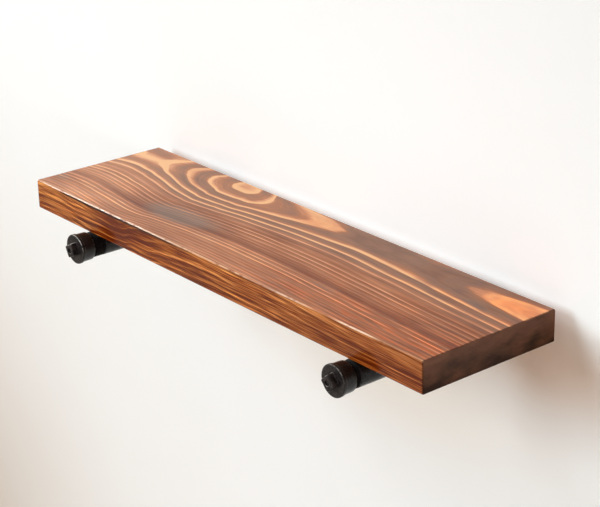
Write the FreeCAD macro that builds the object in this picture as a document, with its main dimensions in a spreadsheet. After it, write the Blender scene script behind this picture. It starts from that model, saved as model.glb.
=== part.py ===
import FreeCAD, Part
import os
import re

import Sketcher
from FreeCAD import Placement, Rotation, Vector

# Wall shelf: a thick board carried by two iron pipe arms, each screwed into a wall
# flange and closed by a square-headed cap. Pipe straps screwed to the underside of
# the board hold it on the arms.
# Frame: the wall is the plane y = 0 and the shelf stands out from it towards -Y,
# +X runs to the right seen from the room, +Z is up, and the origin is midway
# between the two arms at the height of their axes.

SIDES = ("left", "right")
ROWS = ("front", "rear")
ENDS = ("outer", "inner")

# Driving sizes in millimetres; a name that ends in turn is in degrees
SIZES = {
    # Board
    "board_length": 600.0,
    "board_depth": 159.0,
    "board_thickness": 31.5,
    "board_edge_radius": 1.5,
    "left_overhang": 99.5,
    "right_overhang": 91.5,
    # Pipe arms
    "pipe_radius": 13.45,
    "pipe_wall": 2.6,
    "pipe_recess": 1.2,
    "thread_crest_radius": 13.2,
    "thread_pitch_radius": 12.6,
    "thread_chamfer": 0.8,
    "left_thread_run": 15.5,
    "right_thread_run": 7.2,
    "rear_thread_run": 5.0,
    # End caps
    "left_cap_reach": 19.8,
    "right_cap_reach": 20.6,
    "cap_length": 15.5,
    "cap_face": 4.0,
    "cap_chamfer": 0.6,
    "bead_radius": 15.6,
    "bead_width": 3.7,
    "skirt_radius": 14.9,
    "skirt_rear_radius": 14.6,
    "head_side": 12.4,
    "head_height": 6.5,
    "head_edge_radius": 0.9,
    "recess_radius": 2.9,
    "recess_depth": 1.4,
    "left_head_turn": 26.0,
    "right_head_turn": 42.0,
    # Wall flanges
    "flange_radius": 35.0,
    "flange_plate": 4.5,
    "flange_chamfer": 0.8,
    "flange_height": 15.0,
    "hub_radius": 17.8,
    "hub_front_radius": 17.0,
    "wall_hole_circle_radius": 26.5,
    "wall_hole_radius": 3.0,
    "wall_hole_turn": 45.0,
    # Pipe straps
    "strap_metal": 1.5,
    "strap_width": 18.0,
    "strap_reach": 36.0,
    "strap_bend_radius": 2.0,
    "strap_corner_radius": 5.0,
    "strap_hole_inset": 9.0,
    "strap_hole_radius": 2.4,
    "front_strap_inset": 57.0,
    "rear_strap_inset": 34.0,
    # Strap screws
    "screw_radius": 2.0,
    "screw_length": 20.0,
    "screw_point": 4.5,
    "screw_head_radius": 4.0,
    "screw_head_height": 2.6,
    "screw_head_rim": 1.0,
    "drive_reach": 2.2,
    "drive_half_width": 0.45,
    "drive_depth": 1.5,
    # Clearances
    "seat_gap": 0.1,
    "thread_gap": 0.1,
    "pilot_gap": 0.1,
    "pilot_over_depth": 1.0,
    "cut_overrun": 1.0,
}
FLANGE_HOLES = 4

# Places worked out from the driving sizes
PLACES = {
    "arm_offset": "(board_length - left_overhang - right_overhang) / 2",
    "board_underside": "pipe_radius + seat_gap",
    "board_back": "-flange_height - seat_gap",
    "board_front": "board_back - board_depth",
    "left_cap_place": "board_front - left_cap_reach",
    "right_cap_place": "board_front - right_cap_reach",
    "pipe_bore_radius": "pipe_radius - pipe_wall",
    "thread_bore_radius": "thread_pitch_radius + thread_gap",
    "strap_inner_radius": "pipe_radius + seat_gap",
    "strap_outer_radius": "strap_inner_radius + strap_metal",
    "strap_top": "board_underside - seat_gap",
    "strap_underside": "strap_top - strap_metal",
    "strap_hole_offset": "strap_reach - strap_hole_inset",
    "front_strap_place": "board_front + front_strap_inset",
    "rear_strap_place": "board_back - rear_strap_inset",
    "screw_seat": "strap_underside - seat_gap",
    "pilot_radius": "screw_radius + pilot_gap",
    "pilot_depth": "screw_length - (board_underside - screw_seat) + pilot_over_depth",
}
NAMES = {**SIZES, **PLACES}

# Angle of a full turn, in degrees
FULL_TURN = 360

doc = FreeCAD.newDocument("wall_shelf")


def make_sheet():
    """Fill the sheet with the driving sizes and then with the places that follow from them."""
    sheet = doc.addObject("Spreadsheet::Sheet", "sizes")
    for row, (name, value) in enumerate(NAMES.items(), start=1):
        sheet.set(f"A{row}", name)
        sheet.set(f"B{row}", str(value) if name in SIZES else f"={value}")
        sheet.setAlias(f"B{row}", name)
    doc.recompute()
    return sheet


SHEET = make_sheet()


def bound(formula):
    """Return the formula with every size name pointing to its cell in the sheet."""
    words = r"[a-z_]+"
    return re.sub(words, lambda word: f"sizes.{word[0]}" if word[0] in NAMES else word[0], formula)


def value_of(formula):
    """Return the present value of a formula as a number."""
    return float(SHEET.evalExpression(bound(formula)))


def new_body(name):
    """Add a body whose label is the name of its piece."""
    body = doc.addObject("PartDesign::Body", name)
    body.Label = name
    return body


def new_sketch(body, name, plane, lift="0"):
    """Add a sketch on one of the body's own origin planes, lifted along the plane's normal."""
    sketch = body.newObject("Sketcher::SketchObject", name)
    origin_plane = next(item for item in body.Origin.OriginFeatures if item.Role == plane)
    sketch.AttachmentSupport = [(origin_plane, "")]
    sketch.MapMode = "FlatFace"
    sketch.setExpression("AttachmentOffset.Base.z", bound(lift))
    return sketch


def bind(sketch, kind, targets, label, formula):
    """Add a constraint and tie its value to a formula."""
    index = sketch.addConstraint(Sketcher.Constraint(kind, *targets, value_of(formula)))
    sketch.renameConstraint(index, label)
    sketch.setExpression(f"Constraints.{label}", bound(formula))


def place_point(sketch, item, point, label, across, along):
    """Locate a point of a sketch item by its distances from the sketch's origin."""
    bind(sketch, "DistanceX", (-1, 1, item, point), f"{label}_across", across)
    bind(sketch, "DistanceY", (-1, 1, item, point), f"{label}_along", along)


def arc_centre(start, end, axis, coordinate):
    """Return the point as far from start as from end that has the given coordinate."""
    middle = (start + end) / 2
    chord = end - start
    if axis == "across":
        return Vector(coordinate, middle.y - (coordinate - middle.x) * chord.x / chord.y, 0)
    return Vector(middle.x - (coordinate - middle.y) * chord.y / chord.x, coordinate, 0)


def add_side(sketch, start, end, arc):
    """Add a line, or an arc given by its turn and centre, and return it with its two end points."""
    if arc is None:
        return sketch.addGeometry(Part.LineSegment(start, end)), 1, 2
    turn, axis, formula = arc
    centre = arc_centre(start, end, axis, value_of(formula))
    first, last = (start, end) if turn == "anticlockwise" else (end, start)
    circle = Part.Circle(centre, Vector(0, 0, 1), (start - centre).Length)
    item = sketch.addGeometry(Part.ArcOfCircle(circle, circle.parameter(first), circle.parameter(last)))
    return (item, 1, 2) if turn == "anticlockwise" else (item, 2, 1)


def outline(body, name, plane, corners, arcs=None, lift="0"):
    """Draw a closed outline through corners; arcs gives the turn and centre of a side by its number."""
    arcs = arcs or {}
    sketch = new_sketch(body, name, plane, lift)
    points = [Vector(value_of(across), value_of(along), 0) for across, along in corners]
    sides = []
    for number, start in enumerate(points):
        end = points[(number + 1) % len(points)]
        sides.append(add_side(sketch, start, end, arcs.get(number)))
    for number, (item, start, _) in enumerate(sides):
        before, _, before_end = sides[number - 1]
        sketch.addConstraint(Sketcher.Constraint("Coincident", before, before_end, item, start))
        place_point(sketch, item, start, f"corner{number}", *corners[number])
    for number, (_, axis, formula) in arcs.items():
        kind = "DistanceX" if axis == "across" else "DistanceY"
        bind(sketch, kind, (-1, 1, sides[number][0], 3), f"centre{number}", formula)
    return sketch


def circles(body, name, plane, centres, radius, lift="0"):
    """Draw one circle of the given radius round each centre."""
    sketch = new_sketch(body, name, plane, lift)
    for number, (across, along) in enumerate(centres):
        centre = Vector(value_of(across), value_of(along), 0)
        item = sketch.addGeometry(Part.Circle(centre, Vector(0, 0, 1), value_of(radius)))
        place_point(sketch, item, 3, f"centre{number}", across, along)
        bind(sketch, "Radius", (item,), f"radius{number}", radius)
    return sketch


def revolve(body, name, sketch):
    """Turn an outline once round the upright axis of its sketch."""
    feature = body.newObject("PartDesign::Revolution", name)
    feature.Profile = sketch
    feature.ReferenceAxis = (sketch, ["V_Axis"])
    feature.Angle = FULL_TURN
    doc.recompute()
    return feature


def pad(body, name, sketch, length, symmetric=False):
    """Give an outline a thickness along its normal."""
    feature = body.newObject("PartDesign::Pad", name)
    feature.Profile = sketch
    feature.setExpression("Length", bound(length))
    if symmetric:
        feature.SideType = "Symmetric"
    doc.recompute()
    return feature


def pocket(body, name, sketch, length, reverse=False):
    """Cut an outline into the body, and check that it took material away."""
    before = body.Shape.Volume
    feature = body.newObject("PartDesign::Pocket", name)
    feature.Profile = sketch
    feature.Reversed = reverse
    feature.setExpression("Length", bound(length))
    doc.recompute()
    if not feature.Shape.Volume < before:
        raise RuntimeError(f"{body.Label}: {name} cuts nothing")
    return feature


def fillet(body, name, base, radius, wanted):
    """Round the edges of a feature that pass the test wanted."""
    edges = [f"Edge{number}" for number, edge in enumerate(base.Shape.Edges, start=1) if wanted(edge)]
    feature = body.newObject("PartDesign::Fillet", name)
    feature.Base = (base, edges)
    feature.setExpression("Radius", bound(radius))
    doc.recompute()
    return feature


def place(body, across="0", depth="0", height="0", turn="0"):
    """Set a body's place, and its turn about the front-to-back axis, clockwise seen from the room."""
    body.Placement = Placement(Vector(0, 0, 0), Rotation(Vector(0, 1, 0), value_of(turn)))
    for axis, formula in (("x", across), ("y", depth), ("z", height)):
        body.setExpression(f"Placement.Base.{axis}", bound(formula))
    body.setExpression("Placement.Rotation.Angle", f"({bound(turn)}) * 1 deg")


def side_sign(side):
    """Return the sign of a side's X direction, ready to stand in a formula."""
    return "-" if side == "left" else ""


def runs_along(edge, axis):
    """Tell whether a straight edge is parallel to an axis."""
    straight = edge.Curve.TypeId == "Part::GeomLine"
    return straight and edge.Curve.Direction.cross(axis).Length < edge.Tolerance


def strap_screws():
    """List each strap screw's name with its across and depth formulas."""
    found = []
    for side in SIDES:
        outward = "-" if side == "left" else "+"
        inward = "+" if side == "left" else "-"
        for row in ROWS:
            for end, direction in zip(ENDS, (outward, inward)):
                across = f"{side_sign(side)}arm_offset {direction} strap_hole_offset"
                found.append((f"{side}_{row}_strap_{end}_screw", across, f"{row}_strap_place"))
    return found


def make_board():
    """Thick board with softened edges, and a pilot hole in its underside for each strap screw."""
    body = new_body("shelf_board")
    left, right = "-arm_offset - left_overhang", "arm_offset + right_overhang"
    corners = [
        (left, "board_front"),
        (right, "board_front"),
        (right, "board_back"),
        (left, "board_back"),
    ]
    plank = pad(body, "plank", outline(body, "plank_outline", "XY_Plane", corners), "board_thickness")
    fillet(body, "soft_edges", plank, "board_edge_radius", lambda edge: True)
    centres = [(across, depth) for _, across, depth in strap_screws()]
    pilots = circles(body, "pilot_circles", "XY_Plane", centres, "pilot_radius")
    pocket(body, "pilot_holes", pilots, "pilot_depth", reverse=True)
    place(body, height="board_underside")
    return body


def make_arm(side):
    """Pipe arm: plain pipe with a thread at each end, drawn at its crests where it is in the open
    and at its pitch radius where it is screwed into the cap and the flange."""
    body = new_body(f"{side}_pipe_arm")
    tip = f"{side}_cap_place + cap_face + seat_gap"
    cap_rear = f"{side}_cap_place + cap_length"
    thread_end = f"board_front + {side}_thread_run"
    corners = [
        ("pipe_bore_radius", tip),
        ("thread_pitch_radius - thread_chamfer", tip),
        ("thread_pitch_radius", f"{tip} + thread_chamfer"),
        ("thread_pitch_radius", f"{cap_rear} + seat_gap"),
        ("thread_crest_radius", f"{cap_rear} + seat_gap"),
        ("thread_crest_radius", thread_end),
        ("pipe_radius", f"{thread_end} + thread_chamfer"),
        ("pipe_radius", "-flange_height - rear_thread_run - thread_chamfer"),
        ("thread_crest_radius", "-flange_height - rear_thread_run"),
        ("thread_crest_radius", "-flange_height - seat_gap"),
        ("thread_pitch_radius", "-flange_height - seat_gap"),
        ("thread_pitch_radius", "-pipe_recess - thread_chamfer"),
        ("thread_pitch_radius - thread_chamfer", "-pipe_recess"),
        ("pipe_bore_radius", "-pipe_recess"),
    ]
    revolve(body, "pipe", outline(body, "pipe_outline", "XY_Plane", corners))
    place(body, across=f"{side_sign(side)}arm_offset")
    return body


def make_cap(side):
    """End cap: a disc with a rim bead and a tapered skirt round a blind bore, and a square head
    with a shallow cored recess, turned anticlockwise from upright seen from the room."""
    body = new_body(f"{side}_end_cap")
    corners = [
        ("0", "0"),
        ("bead_radius - cap_chamfer", "0"),
        ("bead_radius", "cap_chamfer"),
        ("bead_radius", "bead_width - cap_chamfer"),
        ("skirt_radius", "bead_width"),
        ("skirt_rear_radius", "cap_length - cap_chamfer"),
        ("skirt_rear_radius - cap_chamfer", "cap_length"),
        ("thread_bore_radius", "cap_length"),
        ("thread_bore_radius", "cap_face"),
        ("0", "cap_face"),
    ]
    revolve(body, "shell", outline(body, "shell_outline", "XY_Plane", corners))
    corner = "head_side / 2"
    square = [
        (f"-{corner}", f"-{corner}"),
        (corner, f"-{corner}"),
        (corner, corner),
        (f"-{corner}", corner),
    ]
    head = pad(body, "head", outline(body, "head_outline", "XZ_Plane", square), "head_height")
    front = -value_of("head_height")

    def is_head_edge(edge):
        along_axis = runs_along(edge, Vector(0, 1, 0)) and edge.BoundBox.YMin < front / 2
        return along_axis or edge.BoundBox.YMax < front / 2

    fillet(body, "head_edges", head, "head_edge_radius", is_head_edge)
    recess = circles(body, "recess_circle", "XZ_Plane", [("0", "0")], "recess_radius", lift="head_height")
    pocket(body, "recess", recess, "recess_depth")
    place(body, f"{side_sign(side)}arm_offset", f"{side}_cap_place", turn=f"-{side}_head_turn")
    return body


def make_flange(side):
    """Wall flange: a round plate with four screw holes, and a hub that takes the pipe's thread."""
    body = new_body(f"{side}_wall_flange")
    corners = [
        ("thread_bore_radius", "0"),
        ("flange_radius", "0"),
        ("flange_radius", "flange_chamfer - flange_plate"),
        ("flange_radius - flange_chamfer", "-flange_plate"),
        ("hub_radius + flange_chamfer", "-flange_plate"),
        ("hub_radius", "-flange_plate - flange_chamfer"),
        ("hub_front_radius", "flange_chamfer - flange_height"),
        ("hub_front_radius - flange_chamfer", "-flange_height"),
        ("thread_bore_radius", "-flange_height"),
    ]
    revolve(body, "casting", outline(body, "casting_outline", "XY_Plane", corners))
    centre = ("wall_hole_circle_radius", "0")
    circle = circles(body, "hole_circle", "XZ_Plane", [centre], "wall_hole_radius", lift="-cut_overrun")
    hole = pocket(body, "wall_hole", circle, "flange_plate + 2 * cut_overrun", reverse=True)
    pattern = body.newObject("PartDesign::PolarPattern", "wall_holes")
    pattern.Originals = [hole]
    pattern.Axis = (circle, ["N_Axis"])
    pattern.Angle = FULL_TURN
    pattern.Occurrences = FLANGE_HOLES
    body.Tip = pattern
    doc.recompute()
    place(body, f"{side_sign(side)}arm_offset", turn="wall_hole_turn")
    return body


def make_strap(side, row):
    """Pipe strap: flat metal bent under the pipe, with a screw hole in each of its two wings."""
    body = new_body(f"{side}_{row}_strap")
    bend = "(strap_outer_radius + strap_bend_radius)"
    leg_top = "strap_underside - strap_bend_radius"
    corners = [
        ("-strap_reach", "strap_top"),
        (f"-{bend}", "strap_top"),
        ("-strap_inner_radius", leg_top),
        ("-strap_inner_radius", "0"),
        ("strap_inner_radius", "0"),
        ("strap_inner_radius", leg_top),
        (bend, "strap_top"),
        ("strap_reach", "strap_top"),
        ("strap_reach", "strap_underside"),
        (bend, "strap_underside"),
        ("strap_outer_radius", leg_top),
        ("strap_outer_radius", "0"),
        ("-strap_outer_radius", "0"),
        ("-strap_outer_radius", leg_top),
        (f"-{bend}", "strap_underside"),
        ("-strap_reach", "strap_underside"),
    ]
    arcs = {
        1: ("clockwise", "across", f"-{bend}"),
        3: ("anticlockwise", "along", "0"),
        5: ("clockwise", "across", bend),
        9: ("anticlockwise", "across", bend),
        11: ("clockwise", "along", "0"),
        13: ("anticlockwise", "across", f"-{bend}"),
    }
    profile = outline(body, "strap_outline", "XZ_Plane", corners, arcs)
    band = pad(body, "band", profile, "strap_width", symmetric=True)
    reach = value_of("strap_reach")

    def is_wing_corner(edge):
        at_end = max(abs(edge.BoundBox.XMin), abs(edge.BoundBox.XMax)) > reach - edge.Tolerance
        return at_end and runs_along(edge, Vector(0, 0, 1))

    fillet(body, "wing_corners", band, "strap_corner_radius", is_wing_corner)
    centres = [("-strap_hole_offset", "0"), ("strap_hole_offset", "0")]
    below = "strap_underside - cut_overrun"
    holes = circles(body, "hole_circles", "XY_Plane", centres, "strap_hole_radius", lift=below)
    pocket(body, "screw_holes", holes, "strap_metal + 2 * cut_overrun", reverse=True)
    place(body, f"{side_sign(side)}arm_offset", f"{row}_strap_place")
    return body


def make_screw(name, across, depth):
    """Pan-head wood screw with a cross recess; it points up into the board."""
    body = new_body(name)
    corners = [
        ("0", "-screw_head_height"),
        ("screw_head_radius", "-screw_head_rim"),
        ("screw_head_radius", "0"),
        ("screw_radius", "0"),
        ("screw_radius", "screw_length - screw_point"),
        ("0", "screw_length"),
    ]
    dome = {0: ("anticlockwise", "across", "0")}
    revolve(body, "turned_shape", outline(body, "turned_outline", "XZ_Plane", corners, dome))
    far, near = "drive_reach", "drive_half_width"
    cross = [
        (near, near),
        (near, far),
        (f"-{near}", far),
        (f"-{near}", near),
        (f"-{far}", near),
        (f"-{far}", f"-{near}"),
        (f"-{near}", f"-{near}"),
        (f"-{near}", f"-{far}"),
        (near, f"-{far}"),
        (near, f"-{near}"),
        (far, f"-{near}"),
        (far, near),
    ]
    drive = outline(body, "drive_outline", "XY_Plane", cross, lift="-screw_head_height")
    pocket(body, "drive_recess", drive, "drive_depth", reverse=True)
    place(body, across, depth, "screw_seat")
    return body


def make_pieces():
    """Build every piece of the shelf and return the bodies."""
    pieces = [make_board()]
    for side in SIDES:
        pieces.append(make_flange(side))
        pieces.append(make_arm(side))
        pieces.append(make_cap(side))
        pieces.extend(make_strap(side, row) for row in ROWS)
    pieces.extend(make_screw(name, across, depth) for name, across, depth in strap_screws())
    return pieces


def check(pieces):
    """Stop if any object failed or any piece isn't one valid solid."""
    for item in doc.Objects:
        if {"Invalid", "Error"} & set(item.State):
            raise RuntimeError(f"{item.Label} is in state {item.State}")
    for piece in pieces:
        shape = piece.Shape
        if shape.isNull() or not shape.isValid() or len(shape.Solids) != 1:
            raise RuntimeError(f"{piece.Label} isn't one valid solid")


PIECES = make_pieces()
doc.recompute()
check(PIECES)
os.makedirs("parts", exist_ok=True)
for piece in PIECES:
    piece.Shape.exportStep(os.path.join("parts", f"{piece.Label}.step"))
    box = piece.Shape.BoundBox
    size = f"{box.XLength:.2f} x {box.YLength:.2f} x {box.ZLength:.2f}"
    print(f"{piece.Label}: volume {piece.Shape.Volume:.1f} mm3, size {size} mm")
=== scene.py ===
import logging
import math
from dataclasses import dataclass, field
from enum import Enum
from typing import Callable, Optional, Sequence, Union

import bpy
import numpy as np
from mathutils import Matrix, Vector

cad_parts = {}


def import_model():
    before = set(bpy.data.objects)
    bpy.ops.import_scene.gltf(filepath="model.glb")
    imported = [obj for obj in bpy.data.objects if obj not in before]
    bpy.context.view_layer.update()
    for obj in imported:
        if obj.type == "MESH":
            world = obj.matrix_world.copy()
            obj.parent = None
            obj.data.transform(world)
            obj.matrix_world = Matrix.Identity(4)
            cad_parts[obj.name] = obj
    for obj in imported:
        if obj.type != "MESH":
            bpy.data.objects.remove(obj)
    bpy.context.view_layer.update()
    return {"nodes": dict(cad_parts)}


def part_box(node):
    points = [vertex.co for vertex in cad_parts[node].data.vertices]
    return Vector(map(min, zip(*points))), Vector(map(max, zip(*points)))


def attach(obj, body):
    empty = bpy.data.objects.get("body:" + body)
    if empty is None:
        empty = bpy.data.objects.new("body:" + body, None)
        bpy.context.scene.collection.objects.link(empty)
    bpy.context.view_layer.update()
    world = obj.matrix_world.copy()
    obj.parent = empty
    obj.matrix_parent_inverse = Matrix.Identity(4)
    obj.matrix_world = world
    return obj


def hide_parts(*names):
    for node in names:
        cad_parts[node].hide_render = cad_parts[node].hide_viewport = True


log = logging.getLogger("wall_shelf")

MM = 0.001
NOISE_MIDDLE = 0.5
IN_TWO = (0.0, 0.5, 1.0)
IN_THREE = (0.0, 0.33, 0.67, 1.0)
IN_FOUR = (0.0, 0.25, 0.5, 0.75, 1.0)
IN_FIVE = (0.0, 0.2, 0.4, 0.6, 0.8, 1.0)

Socket = bpy.types.NodeSocket
Value = Union[float, Socket]
Radius = Union[float, np.ndarray]
Colour = tuple[float, float, float]
Place = tuple[float, float, float]
Span = tuple[float, float]
Points = Sequence[tuple[float, float]]


class Side(Enum):
    """Which of the two arms a piece belongs to, as seen from the room."""

    LEFT = "left"
    RIGHT = "right"


class Row(Enum):
    """Which of the two straps on an arm."""

    FRONT = "front"
    REAR = "rear"


class End(Enum):
    """Which foot of a strap a screw goes through."""

    OUTER = "outer"
    INNER = "inner"


def srgb(red: int, green: int, blue: int) -> Colour:
    """Turn a colour as seen on a screen into the linear one that the shaders use.

    Args:
        red: Red from 0 to 255.
        green: Green from 0 to 255.
        blue: Blue from 0 to 255.

    Returns:
        The linear colour.
    """
    shares = [channel / 255 for channel in (red, green, blue)]
    return tuple(s / 12.92 if s <= 0.04045 else ((s + 0.055) / 1.055) ** 2.4 for s in shares)


def quarter_turn(steps: Sequence[float]) -> list[tuple[float, float]]:
    """Return the sine and the cosine at each share of a quarter turn."""
    return [(math.sin(step * math.pi / 2), math.cos(step * math.pi / 2)) for step in steps]


class FinishNodes:
    """The shader nodes of one finish, added and linked in short calls."""

    def __init__(self, name: str) -> None:
        """Start an empty material.

        Args:
            name: The material's name.
        """
        self.material = bpy.data.materials.new(name)
        self.material.use_nodes = True
        self.tree = self.material.node_tree
        self.tree.nodes.clear()

    def add(self, kind: str, **settings: object) -> bpy.types.Node:
        """Add one node.

        Args:
            kind: The node's type, without the leading ShaderNode.
            settings: Properties to set on it.

        Returns:
            The new node.
        """
        node = self.tree.nodes.new(f"ShaderNode{kind}")
        for key, value in settings.items():
            setattr(node, key, value)
        return node

    def feed(self, socket: Socket, value: object) -> None:
        """Link a socket to another one, or set its own value.

        Args:
            socket: The socket to fill.
            value: Another socket, a number, a vector or a colour.
        """
        if isinstance(value, Socket):
            self.tree.links.new(value, socket)
        elif isinstance(value, tuple) and len(value) == 3 and socket.type == "RGBA":
            socket.default_value = (*value, 1.0)
        else:
            socket.default_value = value

    def math(self, operation: str, *values: Value, clamp: bool = False) -> Socket:
        """Work out one number from others.

        Args:
            operation: Blender's name of the operation.
            values: Its inputs in order.
            clamp: Whether the result stays between 0 and 1.

        Returns:
            The result.
        """
        node = self.add("Math", operation=operation, use_clamp=clamp)
        for socket, value in zip(node.inputs, values):
            self.feed(socket, value)
        return node.outputs[0]

    def total(self, *values: Value) -> Socket:
        """Add up several numbers.

        Args:
            values: The numbers.

        Returns:
            Their sum.
        """
        result = values[0]
        for value in values[1:]:
            result = self.math("ADD", result, value)
        return result

    def product(self, *values: Value, clamp: bool = False) -> Socket:
        """Multiply several numbers.

        Args:
            values: The numbers.
            clamp: Whether each step stays between 0 and 1.

        Returns:
            Their product.
        """
        result = values[0]
        for value in values[1:]:
            result = self.math("MULTIPLY", result, value, clamp=clamp)
        return result

    def rest(self, share: Value) -> Socket:
        """Return what a share leaves of 1."""
        return self.math("SUBTRACT", 1.0, share)

    def cut(self, share: Value, depth: float) -> Socket:
        """Return a factor that falls from 1 by depth where a share is 1."""
        return self.math("MULTIPLY_ADD", share, -depth, 1.0)

    def fade(self, value: Value, start: float, end: float) -> Socket:
        """Go smoothly from 0 at one place to 1 at another.

        Args:
            value: The number that decides.
            start: Where it is still 0.
            end: Where it reaches 1.

        Returns:
            The share.
        """
        node = self.add("MapRange", interpolation_type="SMOOTHSTEP")
        self.feed(node.inputs["Value"], value)
        node.inputs["From Min"].default_value = start
        node.inputs["From Max"].default_value = end
        return node.outputs["Result"]

    def bell(self, distance: Socket, reach: float) -> Socket:
        """Return a share that falls from 1 at distance 0 to about a third at reach."""
        ratio = self.math("DIVIDE", distance, reach)
        return self.math("EXPONENT", self.product(ratio, ratio, -1.0))

    def object_place(self) -> Socket:
        """Read where the surface is in the shelf's own frame.

        Returns:
            The place in millimetres.
        """
        place = self.add("TexCoord").outputs["Object"]
        scale = self.add("VectorMath", operation="SCALE")
        self.feed(scale.inputs[0], place)
        scale.inputs["Scale"].default_value = 1 / MM
        return scale.outputs[0]

    def facing(self) -> tuple[Socket, Socket, Socket]:
        """Return the three parts of the direction that the surface faces."""
        return self.parts(self.add("TexCoord").outputs["Normal"])

    def parts(self, vector: Socket) -> tuple[Socket, Socket, Socket]:
        """Split a vector.

        Args:
            vector: The vector.

        Returns:
            Its three numbers.
        """
        node = self.add("SeparateXYZ")
        self.feed(node.inputs[0], vector)
        return tuple(node.outputs)

    def join(self, x: Value, y: Value, z: Value) -> Socket:
        """Make a vector.

        Args:
            x: Its first number.
            y: Its second number.
            z: Its third number.

        Returns:
            The vector.
        """
        node = self.add("CombineXYZ")
        for socket, value in zip(node.inputs, (x, y, z)):
            self.feed(socket, value)
        return node.outputs[0]

    def stretch(self, vector: Socket, along: float, across: float, up: float) -> Socket:
        """Divide a place by the length of a mark in each direction.

        Args:
            vector: The place.
            along: Length of a mark along the shelf.
            across: Its length from the wall to the room.
            up: Its height.

        Returns:
            The stretched place.
        """
        node = self.add("VectorMath", operation="MULTIPLY")
        self.feed(node.inputs[0], vector)
        node.inputs[1].default_value = (1 / along, 1 / across, 1 / up)
        return node.outputs[0]

    def noise(
        self, vector: Socket, scale: float = 1.0, detail: float = 2.0, rough: float = 0.5
    ) -> Socket:
        """Read cloudy noise.

        Args:
            vector: Where to read it.
            scale: How many clouds fit in a length of 1.
            detail: How many finer layers it has.
            rough: How strong the finer layers are.

        Returns:
            The noise, around a half.
        """
        node = self.add("TexNoise", noise_dimensions="3D")
        self.feed(node.inputs["Vector"], vector)
        node.inputs["Scale"].default_value = scale
        node.inputs["Detail"].default_value = detail
        node.inputs["Roughness"].default_value = rough
        return node.outputs[0]

    def sway(self, noise: Socket, reach: float) -> Socket:
        """Turn noise around a half into a push of about reach to either side of 0."""
        return self.math("MULTIPLY", self.math("SUBTRACT", noise, NOISE_MIDDLE), 2 * reach)

    def curve(
        self, value: Value, low: float, high: float, points: Points, smooth: bool = True
    ) -> Socket:
        """Read a drawn curve.

        Args:
            value: Where to read it.
            low: The first place that the curve covers.
            high: The last place that it covers.
            points: Place and height of each point.
            smooth: Whether it rounds its points.

        Returns:
            The curve's height there.
        """
        heights = [height for _, height in points]
        base, span = min(heights), max(max(heights) - min(heights), 1e-6)
        share = self.math("DIVIDE", self.math("SUBTRACT", value, low), high - low, clamp=True)
        node = self.add("FloatCurve")
        line = node.mapping.curves[0]
        while len(line.points) < len(points):
            line.points.new(0.5, 0.5)
        for point, (place, height) in zip(line.points, points):
            point.location = ((place - low) / (high - low), (height - base) / span)
            point.handle_type = "AUTO_CLAMPED" if smooth else "VECTOR"
        node.mapping.update()
        self.feed(node.inputs["Value"], share)
        return self.math("MULTIPLY_ADD", node.outputs[0], span, base)

    def ramp(self, value: Socket, stops: Sequence[tuple[float, Colour]]) -> Socket:
        """Turn a number from 0 to 1 into a colour.

        Args:
            value: The number.
            stops: Place and colour of each stop.

        Returns:
            The colour.
        """
        node = self.add("ValToRGB")
        elements = node.color_ramp.elements
        while len(elements) < len(stops):
            elements.new(0.5)
        for element, (place, colour) in zip(elements, stops):
            element.position = place
            element.color = (*colour, 1.0)
        self.feed(node.inputs[0], value)
        return node.outputs[0]

    def blend(self, share: Value, first: object, second: object, kind: str = "MIX") -> Socket:
        """Mix two colours.

        Args:
            share: How much of the second colour shows.
            first: The first colour.
            second: The second colour.
            kind: Blender's name of the way to mix them.

        Returns:
            The mixed colour.
        """
        node = self.add("Mix", data_type="RGBA", blend_type=kind)
        self.feed(node.inputs[0], share)
        self.feed(node.inputs[6], first)
        self.feed(node.inputs[7], second)
        return node.outputs[2]

    def relief(self, height: Socket, depth: float, strength: float = 1.0) -> Socket:
        """Bend the surface's normal by a height map.

        Args:
            height: The height from 0 to 1.
            depth: What a height of 1 stands for, in millimetres.
            strength: How much of it shows.

        Returns:
            The bent normal.
        """
        node = self.add("Bump")
        node.inputs["Strength"].default_value = strength
        node.inputs["Distance"].default_value = depth * MM
        self.feed(node.inputs["Height"], height)
        return node.outputs[0]

    def finish(self, **inputs: object) -> bpy.types.Material:
        """Close the material with a surface shader.

        Args:
            inputs: The shader's sockets by name, with underscores for blanks.

        Returns:
            The finished material.
        """
        shader = self.add("BsdfPrincipled")
        for name, value in inputs.items():
            self.feed(shader.inputs[name.replace("_", " ")], value)
        self.show(shader.outputs[0])
        return self.material

    def show(self, surface: Socket) -> None:
        """Give the material its surface."""
        self.feed(self.add("OutputMaterial").inputs["Surface"], surface)


@dataclass(frozen=True)
class Grain:
    """Noise drawn out into marks with a length in each direction, in millimetres."""

    along: float
    across: float
    up: float
    detail: float = 2.0
    rough: float = 0.5

    def draw(self, nodes: FinishNodes, place: Socket) -> Socket:
        """Return the noise at a place."""
        marks = nodes.stretch(place, self.along, self.across, self.up)
        return nodes.noise(marks, detail=self.detail, rough=self.rough)


@dataclass(frozen=True)
class RingGrain:
    """Noise drawn out along the growth rings, in millimetres."""

    length: float
    width: float
    layer: float
    detail: float = 2.0
    rough: float = 0.5

    def draw(self, nodes: FinishNodes, along: Socket, radius: Socket) -> Socket:
        """Read the noise.

        Args:
            nodes: The finish being built.
            along: Distance from the board's left end.
            radius: Distance from the heart of the log.

        Returns:
            The noise there.
        """
        lengthways = nodes.math("DIVIDE", along, self.length)
        marks = nodes.join(lengthways, nodes.math("DIVIDE", radius, self.width), self.layer)
        return nodes.noise(marks, detail=self.detail, rough=self.rough)


@dataclass(frozen=True)
class Patch:
    """A soft spot on the board where its finish is darker or lighter, in millimetres.

    Along the board, places count from its left end; across it, from its back edge,
    or on the front from its top edge.
    """

    along: float
    across: float
    reach: float
    width: float
    change: float


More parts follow.
